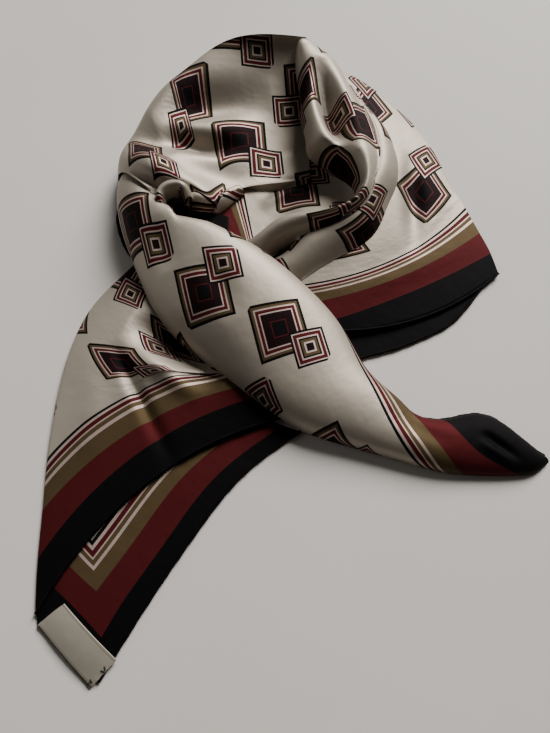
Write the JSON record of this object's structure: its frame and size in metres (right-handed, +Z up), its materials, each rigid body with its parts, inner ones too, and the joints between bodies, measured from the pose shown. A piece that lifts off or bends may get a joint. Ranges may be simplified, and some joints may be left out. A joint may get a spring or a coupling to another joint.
{
  "type": "silk square scarf",
  "caption": "Square silk scarf with a striped border, dropped in a soft heap with a puffed crown, two nested loops, turned-back panels and a rolled tail.",
  "frame": {"origin": "centre of the heap's footprint, on the surface it lies on", "axes": "+Z up; +Y from the labelled corner towards the puffed crown; +X towards the tail's tip"},
  "size_m": [0.363, 0.5252, 0.0648],
  "materials": {
    "printed_silk": "soft satin silk, cream ground",
    "border_silk": "soft satin silk, maroon and black border",
    "label_satin": "blank pale satin ribbon"
  },
  "bodies": {
    "root": {"crown": "printed_silk", "loop_inner": "printed_silk", "loop_outer": "printed_silk", "inner_bowl": "printed_silk", "eye_curl": "printed_silk", "tail": "printed_silk", "flap_left": "printed_silk", "corner_under": "border_silk", "panel_right": "printed_silk", "panel_under": "border_silk", "back_layer": "border_silk", "hidden_folds_heap": "printed_silk", "hidden_folds_tail": "printed_silk", "label": "label_satin"}
  },
  "joints": []
}
